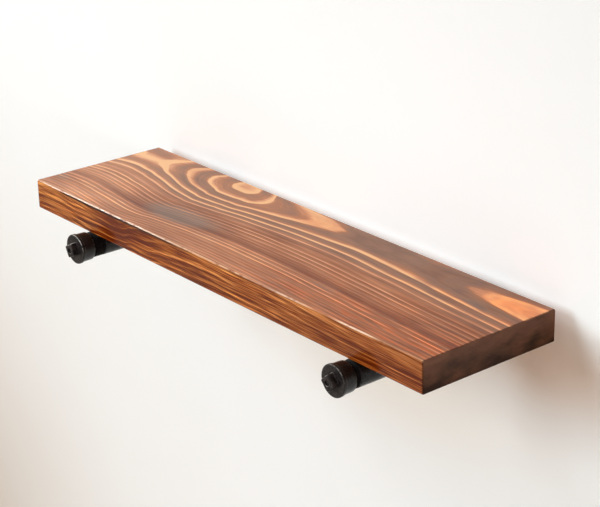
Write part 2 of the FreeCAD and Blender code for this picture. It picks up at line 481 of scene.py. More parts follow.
@dataclass(frozen=True)
class BoardPoint:
    """Where a point of the board lies, in millimetres, and which face it is on."""

    place: Socket
    along: Socket
    across: Socket
    below: Socket
    forward: Socket
    upward: Socket
    on_front: Socket
    on_top: Socket
    on_end: Socket


@dataclass(frozen=True)
class PineLog:
    """How the growth rings of the log lie in the board, in millimetres.

    Along the board, places count from its left end; across it, from its back edge.
    The heart of the log runs above the board near the back edge and wanders, so its
    rings come out as ovals there and as straight lines towards the front.
    """

    length: float = 600.0
    thickness: float = 31.5
    heart_height: float = 60.0
    heart_mean: float = 14.0
    near_reach: float = 45.0
    dead_reach: float = 30.0
    middle_reach: float = 110.0
    front_reach: float = 100.0
    heart_line: Points = (
        (0, 27), (50, 24), (75, 18), (120, 15), (170, 8), (230, 21), (340, 16), (400, 16),
        (480, 21), (600, 24),
    )
    heart_rise: Points = (
        (0, 2550), (25, 2700), (50, 2500), (75, 1900), (90, 1600), (120, 850), (150, 200),
        (170, -50), (195, 200), (230, 950), (280, 1400), (340, 1700), (400, 1900), (460, 1900),
        (500, 1750), (600, 1400),
    )
    middle_drift: Points = ((0, 9), (60, 1), (140, 0), (330, -4), (450, 1), (600, 4))
    front_drift: Points = (
        (0, 4), (50, 4), (80, 3.6), (120, 3.6), (160, 0), (200, -6), (260, -6), (340, -4), (450, 1),
        (600, 8),
    )
    below_drift: Points = ((0, -1), (90, 0), (150, 6), (210, 0), (330, 0), (400, 2), (600, 10))
    waver: Grain = Grain(90, 22, 22, detail=1.0)
    waver_reach: float = 0.6
    ripple: Grain = Grain(26, 6, 6, detail=1.0)
    ripple_reach: float = 0.25
    first_ring: float = 49.0
    ring_widths: Sequence[float] = (
        6, 6.2, 5.6, 6, 6.2, 6.2, 5.8, 6.4, 4.6, 4.7, 4.8, 4.1, 3.3, 2.8, 7.2, 4.4, 4.8, 5, 4.2,
        4.1, 3.9, 3.9, 4.1, 4.7, 4.6, 3, 2.8, 4.4, 3.2, 3, 3,
    )
    ring_profile: Points = (
        (0, 0.3), (0.05, 0.08), (0.12, 0), (0.42, 0.08), (0.66, 0.36), (0.8, 0.84), (0.9, 1),
        (1, 0.3),
    )

    def ring_edges(self) -> list[tuple[float, float]]:
        """List the edges of the rings.

        Returns:
            Each edge's distance from the heart with the ring's number.
        """
        edges = [(self.first_ring, 0.0)]
        for number, width in enumerate(self.ring_widths, start=1):
            edges.append((edges[-1][0] + width, float(number)))
        return edges

    def radius(self, nodes: FinishNodes, point: BoardPoint) -> Socket:
        """Work out how far a point of the board is from the heart of the log.

        Args:
            nodes: The finish being built.
            point: The point.

        Returns:
            The distance in millimetres.
        """
        heart, rise, middle, front, lower = (
            nodes.curve(point.along, 0, self.length, line)
            for line in (
                self.heart_line, self.heart_rise, self.middle_drift, self.front_drift,
                self.below_drift,
            )
        )
        away = nodes.math("SUBTRACT", point.across, self.heart_mean)
        shifts = (
            (nodes.math("SUBTRACT", heart, self.heart_mean), nodes.bell(away, self.near_reach)),
            (
                nodes.product(middle, nodes.bell(away, self.middle_reach)),
                nodes.rest(nodes.bell(away, self.dead_reach)),
            ),
            (front, nodes.rest(nodes.bell(away, self.front_reach))),
        )
        sideways = away
        for shift, share in shifts:
            sideways = nodes.math("SUBTRACT", sideways, nodes.product(shift, share))
        height = nodes.math("SQRT", nodes.math("ADD", rise, self.heart_height**2))
        upwards = nodes.math("ADD", height, point.below)
        squares = nodes.math(
            "ADD", nodes.product(sideways, sideways), nodes.product(upwards, upwards)
        )
        depth = nodes.math("DIVIDE", point.below, self.thickness)
        return nodes.total(
            nodes.math("MULTIPLY_ADD", lower, depth, nodes.math("SQRT", squares)),
            nodes.sway(self.waver.draw(nodes, point.place), self.waver_reach),
            nodes.sway(self.ripple.draw(nodes, point.place), self.ripple_reach),
        )

    def bright_line(self, nodes: FinishNodes, radius: Socket) -> Socket:
        """Work out how bright the wood is in its ring.

        Args:
            nodes: The finish being built.
            radius: Distance from the heart of the log.

        Returns:
            The brightness from 0 to 1.
        """
        edges = self.ring_edges()
        rings = nodes.curve(radius, edges[0][0], edges[-1][0], edges, smooth=False)
        return nodes.curve(nodes.math("FRACT", rings), 0, 1, self.ring_profile)


@dataclass(frozen=True)
class WoodMarks:
    """The marks that the board's colours are made of, as shader sockets."""

    radius: Socket
    line: Socket
    streak: Socket
    streaky: Socket
    chops: Socket
    fibre: Socket
    top_spots: Socket
    tone: Socket


@dataclass(frozen=True)
class ScorchedPine:
    """Softwood scorched with a torch, stained, and sealed with a glossy clear coat.

    The wide spring bands take the scorch and the narrow summer bands stay bright.
    Places along the board count from its left end, in millimetres.
    """

    char: Colour = srgb(92, 34, 9)
    umber: Colour = srgb(121, 57, 21)
    russet: Colour = srgb(142, 77, 38)
    copper: Colour = srgb(167, 102, 62)
    tan: Colour = srgb(184, 119, 80)
    sand: Colour = srgb(205, 138, 98)
    honey: Colour = srgb(233, 163, 117)
    cream: Colour = srgb(254, 198, 142)
    ash: Colour = srgb(126, 95, 79)
    pale_ash: Colour = srgb(150, 116, 97)
    end_char: Colour = srgb(50, 29, 16)
    end_char_light: Colour = srgb(122, 80, 58)
    # Painted highlight: the near-white of the bare upper front edge where the coat pools.
    painted_edge_highlight: Colour = srgb(255, 240, 224)
    ruddy: Colour = (1.05, 0.9, 0.8)
    flame: Colour = (1.24, 0.94, 0.62)
    mauve: Colour = (0.74, 0.82, 0.98)
    amber: Colour = (1.06, 0.9, 0.45)
    late_amber: Colour = (1.03, 0.89, 0.53)
    late_amber_from: Span = (360.0, 450.0)

    line_strength: Points = (
        (49, 0.5), (72, 0.6), (79, 0.7), (84, 0.66), (90, 0.5), (97, 0.2), (101.6, 0.44),
        (106, 0.46), (111, 0.36), (116, 0.26), (121, 0.16), (129, 0.3), (138, 0.5), (143, 0.16),
        (151, 0.26), (159, 0.28), (167, 0.3), (172, 0.5), (175, 0.24), (178, 0.4), (192, 0.4),
    )
    ground_tone: Points = (
        (49, 0.5), (61, 0.44), (66, 0.4), (79, 0.34), (90, 0.36), (99, 0.36), (109, 0.36),
        (118, 0.36), (123, 0.24), (128, 0.4), (141, 0.42), (154, 0.4), (161, 0.4), (166, 0.32),
        (170, 0.18), (192, 0.2),
    )
    streaks: RingGrain = RingGrain(55.0, 3.4, 3.0)
    fine_lines: RingGrain = RingGrain(70.0, 1.5, 0.0, detail=3.0, rough=0.6)
    chop_marks: Grain = Grain(52, 0.8, 0.8)
    fibres: Grain = Grain(40, 0.6, 0.6, detail=3.0, rough=0.6)
    clouds: Grain = Grain(60, 14, 14)
    chip_marks: Grain = Grain(12, 6, 6)
    burn_clouds: Grain = Grain(14, 26, 12, detail=3.0)
    fine_reach: float = 0.3
    fibre_reach: float = 0.18
    cloud_reach: float = 0.16
    streak_gaps: Span = (0.4, 0.58)
    gap_depth: float = 0.75
    faint_from: Span = (330.0, 450.0)
    faint_depth: float = 0.6

    front_shade: float = 0.07
    front_chop_reach: float = 0.62
    front_fibre_reach: float = 0.35
    front_contrast: Points = (
        (0, 1.75), (90, 1.4), (140, 0.85), (190, 0.9), (280, 1.4), (380, 1.5), (480, 1.1),
        (600, 0.9),
    )
    front_light: Span = (0.54, 0.7)
    front_light_share: float = 0.7
    front_dark: Span = (0.3, 0.46)
    front_dark_share: float = 0.5

    dull_radius: Span = (84.0, 98.0)
    dull_share: float = 0.7
    soot_from: Span = (0.02, 0.14)
    bright_streaks: Span = (0.5, 0.6)
    cool_streaks: Span = (0.38, 0.48)

    # Where the coat pools on the upper front edge: it raises the coat's gloss there and whitens the
    # bare wood as a painted highlight.
    pooled_coat_and_highlight: Points = (
        (0, 0.3), (40, 0.45), (150, 0.5), (240, 0.4), (290, 0.2), (360, 0.2), (410, 0.4),
        (470, 0.1), (510, 0.5), (550, 0.1), (600, 0.1),
    )
    bare_edge: Points = (
        (0, 0.6), (60, 0.65), (160, 0.75), (240, 0.6), (340, 0.65), (385, 0.2), (425, 0.8),
        (460, 0.3), (475, 0.2), (495, 0.9), (520, 1), (540, 0.5), (572, 0.2), (600, 0.4),
    )
    burnt_edge: Points = (
        (0, 0), (40, 0.2), (60, 0.9), (120, 1), (200, 0.8), (260, 0.5), (330, 0.1), (600, 0),
    )
    brow_place: Span = (156.8, 157.6)
    brow_lean: Span = (0.4, 0.65)
    chip_from: Span = (0.3, 0.5)
    burn_from: Span = (0.5, 1.1)
    burn_until: Span = (2.3, 3.4)
    singe_until: Span = (0.9, 2.2)
    singe_share: float = 0.7

    face_lean: Span = (0.55, 0.8)
    edge_lean: Span = (0.12, 0.35)
    roughness: float = 0.38
    fibre_roughness: float = 0.2
    line_relief: float = 0.5
    fibre_relief: float = 0.5
    burn_relief: float = 0.2
    end_relief_loss: float = 0.8
    relief_depth: float = 0.12
    relief_strength: float = 0.6
    coat: float = 0.85
    end_coat_loss: float = 0.5
    coat_roughness: float = 0.14
    coat_ior: float = 1.3
    pooled_ior: float = 1.1

    end_line_share: float = 0.02
    end_burn_share: float = 0.75
    end_fall: float = 0.32
    end_fall_power: float = 1.5
    end_tones: Span = (0.05, 0.56)

    top_patches: Sequence[Patch] = (
        Patch(190, 111, 70, 22, -0.19),
        Patch(10, 132, 28, 14, -0.3),
        Patch(425, 118, 32, 12, -0.1),
        Patch(440, 10, 80, 22, -0.04),
        Patch(560, 95, 60, 40, -0.06),
        Patch(0, 90, 110, 120, 0.2),
        Patch(20, 29, 38, 9, 0.5),
        Patch(55, 6, 18, 8, 0.3),
        Patch(575, 24, 38, 15, 0.1),
        Patch(85, 146, 52, 16, 0.16),
        Patch(270, 130, 60, 20, 0.12),
        Patch(330, 156, 90, 8, 0.12),
        Patch(225, 20, 50, 16, 0.14),
        Patch(430, 90, 80, 24, 0.07),
        Patch(60, 95, 60, 30, 0.06),
        Patch(594, 27, 16, 8, 0.25),
        Patch(562, 43, 30, 8, -0.14),
    )
    front_patches: Sequence[Patch] = (
        Patch(145, 8, 40, 16, -0.42),
        Patch(155, 32, 30, 8, -0.2),
        Patch(10, 2, 40, 12, 0.22),
        Patch(60, 20, 50, 12, 0.1),
        Patch(350, 10, 110, 20, 0.06),
        Patch(450, 18, 90, 18, 0.13),
        Patch(530, 24, 50, 12, -0.12),
        Patch(15, 28, 40, 7, -0.14),
        Patch(210, 17, 30, 8, -0.08),
        Patch(450, 28, 40, 8, 0.14),
    )
    ruddy_patches: Sequence[Patch] = (
        Patch(600, 140, 230, 40, 1.0),
        Patch(600, 20, 70, 50, 1.0),
        Patch(225, 45, 60, 20, 0.3),
    )
    flame_patches: Sequence[Patch] = (
        Patch(540, 150, 190, 42, 1.0),
        Patch(560, 30, 120, 60, 0.5),
        Patch(60, 150, 200, 60, 0.35),
    )
    ember_patches: Sequence[Patch] = (Patch(568, 24, 36, 16, 0.8), Patch(300, 22, 40, 14, 0.3))
    tree: PineLog = field(default_factory=PineLog)

    def material(self, low: Vector, high: Vector) -> bpy.types.Material:
        """Build the finish for a board.

        Args:
            low: The board's lowest corner in metres.
            high: The board's highest corner in metres.

        Returns:
            The finished material.
        """
        nodes = FinishNodes("scorched_pine")
        point = self.locate(nodes, low, high)
        marks = self.draw_marks(nodes, point)
        pooled_and_highlight = self.read(nodes, point, self.pooled_coat_and_highlight)
        burn = self.burn_clouds.draw(nodes, point.place)
        depth = nodes.math("DIVIDE", point.below, self.tree.thickness, clamp=True)
        stained = self.tint(nodes, point, marks, self.stain(nodes, point, marks))
        stained = self.wear_edges(nodes, point, stained, pooled_and_highlight)
        colour = nodes.blend(point.on_end, stained, self.burnt_end(nodes, marks, burn, depth))
        height = nodes.total(
            nodes.product(marks.line, self.line_relief),
            nodes.product(marks.fibre, self.fibre_relief),
            nodes.product(burn, self.burn_relief),
        )
        height = nodes.product(height, nodes.cut(point.on_end, self.end_relief_loss))
        edge = nodes.product(
            nodes.fade(point.forward, *self.edge_lean),
            nodes.fade(point.upward, *self.edge_lean),
            pooled_and_highlight,
        )
        dry = nodes.product(point.on_end, depth, -self.end_coat_loss)
        return nodes.finish(
            Base_Color=colour,
            Roughness=nodes.math(
                "MULTIPLY_ADD", marks.fibre, self.fibre_roughness, self.roughness
            ),
            Normal=nodes.relief(height, self.relief_depth, self.relief_strength),
            Specular_IOR_Level=0.0,
            Coat_Weight=nodes.math("ADD", dry, self.coat),
            Coat_Roughness=self.coat_roughness,
            Coat_IOR=nodes.math("MULTIPLY_ADD", edge, self.pooled_ior, self.coat_ior),
        )

    def locate(self, nodes: FinishNodes, low: Vector, high: Vector) -> BoardPoint:
        """Find where on the board the surface is.

        Args:
            nodes: The finish being built.
            low: The board's lowest corner in metres.
            high: The board's highest corner in metres.

        Returns:
            The point.
        """
        place = nodes.object_place()
        x, y, z = nodes.parts(place)
        sideward, backward, upward = nodes.facing()
        forward = nodes.math("MULTIPLY", backward, -1.0)
        return BoardPoint(
            place=place,
            along=nodes.math("SUBTRACT", x, low.x / MM),
            across=nodes.math("SUBTRACT", high.y / MM, y),
            below=nodes.math("SUBTRACT", high.z / MM, z),
            forward=forward,
            upward=upward,
            on_front=nodes.fade(forward, *self.face_lean),
            on_top=nodes.fade(upward, *self.face_lean),
            on_end=nodes.fade(nodes.math("ABSOLUTE", sideward), *self.face_lean),
        )

    def read(self, nodes: FinishNodes, point: BoardPoint, line: Points) -> Socket:
        """Return the height of a curve drawn along the board."""
        return nodes.curve(point.along, 0, self.tree.length, line)

    def draw_marks(self, nodes: FinishNodes, point: BoardPoint) -> WoodMarks:
        """Draw the rings, the streaks and the patches, and how light they make the wood.

        Args:
            nodes: The finish being built.
            point: The point on the board.

        Returns:
            The marks.
        """
        along, place = point.along, point.place
        radius = self.tree.radius(nodes, point)
        line = self.tree.bright_line(nodes, radius)
        streak = self.streaks.draw(nodes, along, radius)
        fine = self.fine_lines.draw(nodes, along, radius)
        chops = self.chop_marks.draw(nodes, place)
        fibre = self.fibres.draw(nodes, place)
        cloud = self.clouds.draw(nodes, place)
        streaky = self.spots(nodes, along, point.across, self.flame_patches)
        first, last = self.line_strength[0][0], self.line_strength[-1][0]
        gaps = nodes.product(streaky, nodes.rest(nodes.fade(streak, *self.streak_gaps)))
        faint = nodes.product(nodes.fade(along, *self.faint_from), point.on_front)
        strength = nodes.product(
            nodes.curve(radius, first, last, self.line_strength),
            nodes.cut(gaps, self.gap_depth),
            nodes.cut(faint, self.faint_depth),
        )
        tone = nodes.total(
            nodes.curve(radius, first, last, self.ground_tone),
            nodes.product(line, strength),
            nodes.sway(fine, self.fine_reach),
            nodes.sway(fibre, self.fibre_reach),
            nodes.sway(cloud, self.cloud_reach),
        )
        top_spots = self.spots(nodes, along, point.across, self.top_patches)
        chopped = nodes.total(
            nodes.sway(chops, self.front_chop_reach),
            nodes.sway(fine, self.fine_reach),
            nodes.sway(fibre, self.front_fibre_reach),
        )
        front_tone = nodes.total(
            nodes.product(chopped, self.read(nodes, point, self.front_contrast)),
            self.spots(nodes, along, point.below, self.front_patches),
            -self.front_shade,
        )
        tone = nodes.math("MULTIPLY_ADD", point.on_top, top_spots, tone)
        tone = nodes.math("MULTIPLY_ADD", point.on_front, front_tone, tone, clamp=True)
        return WoodMarks(radius, line, streak, streaky, chops, fibre, top_spots, tone)

    def stain(self, nodes: FinishNodes, point: BoardPoint, marks: WoodMarks) -> Socket:
        """Colour the wood by its tone, and grey it where it is dull or sooty.

        Args:
            nodes: The finish being built.
            point: The point on the board.
            marks: The marks there.

        Returns:
            The colour.
        """
        stained = nodes.ramp(
            marks.tone,
            (
                (0.0, self.char), (0.15, self.umber), (0.3, self.russet), (0.44, self.copper),
                (0.56, self.tan), (0.72, self.sand), (0.86, self.honey), (1.0, self.cream),
            ),
        )
        grey = nodes.ramp(
            marks.tone,
            (
                (0.1, self.ash), (0.4, self.pale_ash), (0.6, self.tan), (0.8, self.honey),
                (1.0, self.cream),
            ),
        )
        dull = nodes.rest(nodes.fade(marks.radius, *self.dull_radius))
        sooty = nodes.fade(nodes.product(marks.top_spots, -1.0), *self.soot_from)
        ashen = nodes.math("ADD", nodes.product(dull, self.dull_share), sooty, clamp=True)
        return nodes.blend(nodes.product(ashen, point.on_top), stained, grey)

    def tint(
        self, nodes: FinishNodes, point: BoardPoint, marks: WoodMarks, stained: Socket
    ) -> Socket:
        """Warm and cool the colour in patches and streaks, and the whole front.

        Args:
            nodes: The finish being built.
            point: The point on the board.
            marks: The marks there.
            stained: The colour so far.

        Returns:
            The tinted colour.
        """
        along, across, on_top = point.along, point.across, point.on_top
        ruddy = self.spots(nodes, along, across, self.ruddy_patches)
        ruddy = nodes.product(ruddy, on_top, clamp=True)
        stained = nodes.blend(ruddy, stained, self.ruddy, "MULTIPLY")
        streaked = nodes.product(marks.streaky, on_top, clamp=True)
        bright = nodes.math(
            "ADD",
            nodes.product(nodes.fade(marks.streak, *self.bright_streaks), streaked),
            nodes.product(self.spots(nodes, along, across, self.ember_patches), on_top),
        )
        cool = nodes.product(nodes.rest(nodes.fade(marks.streak, *self.cool_streaks)), streaked)
        light = nodes.product(nodes.fade(marks.chops, *self.front_light), point.on_front)
        dark = nodes.product(nodes.rest(nodes.fade(marks.chops, *self.front_dark)), point.on_front)
        bright = nodes.math("MULTIPLY_ADD", light, self.front_light_share, bright, clamp=True)
        cool = nodes.math("MULTIPLY_ADD", dark, self.front_dark_share, cool, clamp=True)
        stained = nodes.blend(bright, stained, self.flame, "MULTIPLY")
        stained = nodes.blend(cool, stained, self.mauve, "MULTIPLY")
        glow = nodes.blend(nodes.fade(along, *self.late_amber_from), self.amber, self.late_amber)
        return nodes.blend(point.on_front, stained, nodes.blend(1.0, stained, glow, "MULTIPLY"))

    def wear_edges(
        self, nodes: FinishNodes, point: BoardPoint, stained: Socket, pooled_and_highlight: Socket
    ) -> Socket:
        """Bare the front's upper edge in places, with a painted highlight whitening it where the
        coat pools, and burn the rims of the front and the ends.

        Args:
            nodes: The finish being built.
            point: The point on the board.
            stained: The colour so far.
            pooled_and_highlight: How much coat has gathered on the edge, which also whitens its
                bare wood as a painted highlight.

        Returns:
            The colour with its edges.
        """
        brow = nodes.product(
            nodes.fade(point.across, *self.brow_place), nodes.fade(point.upward, *self.brow_lean)
        )
        bare_and_highlight = nodes.product(
            brow,
            self.read(nodes, point, self.bare_edge),
            nodes.fade(self.chip_marks.draw(nodes, point.place), *self.chip_from),
        )
        # Bare wood on the upper front edge, turned near-white by a painted highlight where the coat
        # pools.
        stained = nodes.blend(bare_and_highlight, stained, nodes.blend(pooled_and_highlight, self.cream, self.painted_edge_highlight))
        band = nodes.math(
            "SUBTRACT",
            nodes.fade(point.below, *self.burn_from),
            nodes.fade(point.below, *self.burn_until),
        )
        burnt = nodes.product(band, self.read(nodes, point, self.burnt_edge), point.on_front)
        stained = nodes.blend(burnt, stained, self.end_char)
        from_right = nodes.math("SUBTRACT", self.tree.length, point.along)
        inward = nodes.math("MINIMUM", point.along, from_right)
        singed = nodes.rest(nodes.fade(inward, *self.singe_until))
        return nodes.blend(nodes.product(singed, self.singe_share), stained, self.end_char)

    def burnt_end(
        self, nodes: FinishNodes, marks: WoodMarks, burn: Socket, depth: Socket
    ) -> Socket:
        """Char the end grain, darker towards its foot.

        Args:
            nodes: The finish being built.
            marks: The marks there.
            burn: Clouds of the scorch.
            depth: How far down the board the point is, from 0 to 1.

        Returns:
            The colour of the end.
        """
        tone = nodes.total(
            nodes.product(marks.line, self.end_line_share),
            nodes.product(burn, self.end_burn_share),
            nodes.product(nodes.math("POWER", depth, self.end_fall_power), -self.end_fall),
        )
        dark, light = self.end_tones
        return nodes.ramp(tone, ((dark, self.end_char), (light, self.end_char_light)))

    @staticmethod
    def spots(
        nodes: FinishNodes, along: Socket, across: Socket, patches: Sequence[Patch]
    ) -> Socket:
        """Return how much lighter or darker the patches of one face make a point.

        Args:
            nodes: The finish being built.
            along: Distance from the left end.
            across: Distance from the face's upper or rear edge.
            patches: The face's patches.

        Returns:
            The change of tone.
        """
        changes = []
        for patch in patches:
            sideways = nodes.bell(nodes.math("SUBTRACT", along, patch.along), patch.reach)
            deep = nodes.bell(nodes.math("SUBTRACT", across, patch.across), patch.width)
            changes.append(nodes.product(sideways, deep, patch.change))
        return nodes.total(*changes)


@dataclass(frozen=True)
class WearAndHighlight:
    """Where a black coating is rubbed off the bevels that look up, baring light metal that is
    partly a painted highlight on the bevels facing the light.
    """

    amount: float
    lean: float = 0.5
    rise: Span = (0.35, 0.6)
    right_arm_amount: float = 0.45
    bevel_start: Span = (0.3, 0.5)
    bevel_end: Span = (0.9, 0.98)
    blotches: Span = (0.42, 0.58)
    middle: Span = (-100.0, 100.0)
    # Light bare metal: on the bevels that face up to the light it stands partly for a painted
    # highlight.
    colour: Colour = srgb(196, 188, 180)
    shine: float = 0.4

    def share(self, nodes: FinishNodes, place: Socket, spots: Socket) -> Socket:
        """Work out where light bare metal shows: coating rubbed off, and a painted highlight on the
        bevels facing the light.

        Args:
            nodes: The finish being built.
            place: The point in millimetres.
            spots: Noise that breaks the wear up.

        Returns:
            The share of light bare metal, partly a painted highlight.
        """
        sideward, forward, upward = nodes.facing()
        forward = nodes.math("ABSOLUTE", forward)
        bevel = nodes.math(
            "SUBTRACT", nodes.fade(forward, *self.bevel_start), nodes.fade(forward, *self.bevel_end)
        )
        # Painted highlight: the bevels that lean up and to one side, towards the light, get the
        # light bare metal; the right arm gets less.
        raised = nodes.fade(
            nodes.math("ADD", nodes.product(sideward, self.lean), upward), *self.rise
        )
        right_arm = nodes.fade(nodes.parts(place)[0], *self.middle)
        raised = nodes.product(raised, nodes.cut(right_arm, 1.0 - self.right_arm_amount))
        return nodes.product(bevel, raised, nodes.fade(spots, *self.blotches), self.amount)


@dataclass(frozen=True)
class BlackIron:
    """Iron with a thin satin black coating. Its grain and relief are in millimetres."""

    name: str
    colour: Colour
    light_colour: Colour
    roughness: float
    grain: float
    grain_depth: float
    gloss: float = 0.35
    mottle: Span = (0.35, 0.7)
    wear_and_highlight: Optional[WearAndHighlight] = None
    cloud_scale: float = 0.12
    cloud_share: float = 0.5
    spot_scale: float = 0.45
    pits_per_grain: float = 2.6
    pit_share: float = 0.3
    tone_roughness: float = 0.35
    spot_roughness: float = 0.3

    def material(self) -> bpy.types.Material:
        """Build the finish.

        Returns:
            The finished material.
        """
        nodes = FinishNodes(self.name)
        place = nodes.object_place()
        cloud = nodes.noise(place, scale=self.cloud_scale, detail=3.0)
        grain = nodes.noise(place, scale=1 / self.grain, detail=3.0, rough=0.62)
        pits = nodes.noise(place, scale=self.pits_per_grain / self.grain, detail=1.0)
        spots = nodes.noise(place, scale=self.spot_scale, detail=3.0, rough=0.6)
        tone = nodes.total(
            nodes.product(cloud, self.cloud_share), nodes.product(grain, 1 - self.cloud_share)
        )
        dark, light = self.mottle
        colour = nodes.ramp(tone, ((dark, self.colour), (light, self.light_colour)))
        height = nodes.total(
            nodes.product(grain, 1 - self.pit_share), nodes.product(pits, self.pit_share)
        )
        roughness: Value = self.roughness
        for noise, reach in ((tone, self.tone_roughness), (spots, self.spot_roughness)):
            around = nodes.math("SUBTRACT", noise, NOISE_MIDDLE)
            roughness = nodes.math("MULTIPLY_ADD", around, reach, roughness)
        metallic: Value = 0.0
        if self.wear_and_highlight is not None:
            bare_and_highlight = self.wear_and_highlight.share(nodes, place, spots)
            # Light bare metal on the upward bevels: rubbed-off coating and painted highlight.
            colour = nodes.blend(bare_and_highlight, colour, self.wear_and_highlight.colour)
            metallic = nodes.product(bare_and_highlight, self.wear_and_highlight.shine)
        return nodes.finish(
            Base_Color=colour,
            Metallic=metallic,
            Roughness=roughness,
            Normal=nodes.relief(height, self.grain_depth),
            Specular_IOR_Level=self.gloss,
        )


PIPE_IRON = BlackIron("pipe_iron", srgb(16, 15, 16), srgb(28, 26, 27), 0.3, 1.6, 0.03, gloss=0.24)
CUT_THREAD = BlackIron(
    "cut_thread", srgb(12, 11, 11), srgb(24, 21, 20), 0.42, 1.6, 0.03, gloss=0.08,
)
CAST_IRON = BlackIron(
    "cast_iron", srgb(9, 8, 8), srgb(24, 21, 20), 0.32, 0.75, 0.08, wear_and_highlight=WearAndHighlight(0.9),
)
CAST_FACE = BlackIron(
    "cast_face", srgb(3, 2, 3), srgb(52, 44, 43), 0.36, 3.0, 0.3, gloss=0.16, mottle=(0.42, 0.6),
    wear_and_highlight=WearAndHighlight(1.0, lean=-0.6, rise=(0.15, 0.4), right_arm_amount=0.8),
)
STRAP_STEEL = BlackIron("strap_steel", srgb(18, 18, 20), srgb(32, 32, 34), 0.34, 2.4, 0.03)


@dataclass(frozen=True)
class ZincSteel:
    """Dark zinc-plated steel of the strap screws."""

    colour: Colour = srgb(96, 94, 92)
    light_colour: Colour = srgb(150, 147, 140)
    bloom: Span = (0.35, 0.68)
    bloom_scale: float = 0.9
    drawn_lines: Grain = Grain(0.5, 0.5, 4.0)
    shine: float = 0.9
    roughness: float = 0.28
    line_roughness: float = 0.2
    relief_depth: float = 0.02

    def material(self) -> bpy.types.Material:
        """Build the finish.

        Returns:
            The finished material.
        """
        nodes = FinishNodes("screw_steel")
        place = nodes.object_place()
        bloom = nodes.noise(place, scale=self.bloom_scale, detail=4.0)
        lines = self.drawn_lines.draw(nodes, place)
        dark, light = self.bloom
        colour = nodes.ramp(bloom, ((dark, self.colour), (light, self.light_colour)))
        return nodes.finish(
            Base_Color=colour,
            Metallic=self.shine,
            Roughness=nodes.math("MULTIPLY_ADD", lines, self.line_roughness, self.roughness),
            Normal=nodes.relief(lines, self.relief_depth),
        )


@dataclass(frozen=True)
class Pool:
    """A soft round on the wall for a painted light and for a painted warm shade: its middle and
    reach, sideways and up, in millimetres.
    """

    middle: tuple[float, float]
    reach: tuple[float, float]
    colour: Colour = (1.0, 1.0, 1.0)

    def share(self, nodes: FinishNodes, place: Socket) -> Socket:
        """Work out how strong it is.

        Args:
            nodes: The finish being built.
            place: The point on the wall in millimetres.

        Returns:
            The share, 1 in its middle.
        """
        x, _, z = nodes.parts(place)
        sideways = nodes.math("DIVIDE", nodes.math("SUBTRACT", x, self.middle[0]), self.reach[0])
        upwards = nodes.math("DIVIDE", nodes.math("SUBTRACT", z, self.middle[1]), self.reach[1])
        squares = nodes.math("MULTIPLY_ADD", sideways, sideways, nodes.product(upwards, upwards))
        return nodes.math("EXPONENT", nodes.product(squares, -1.0))


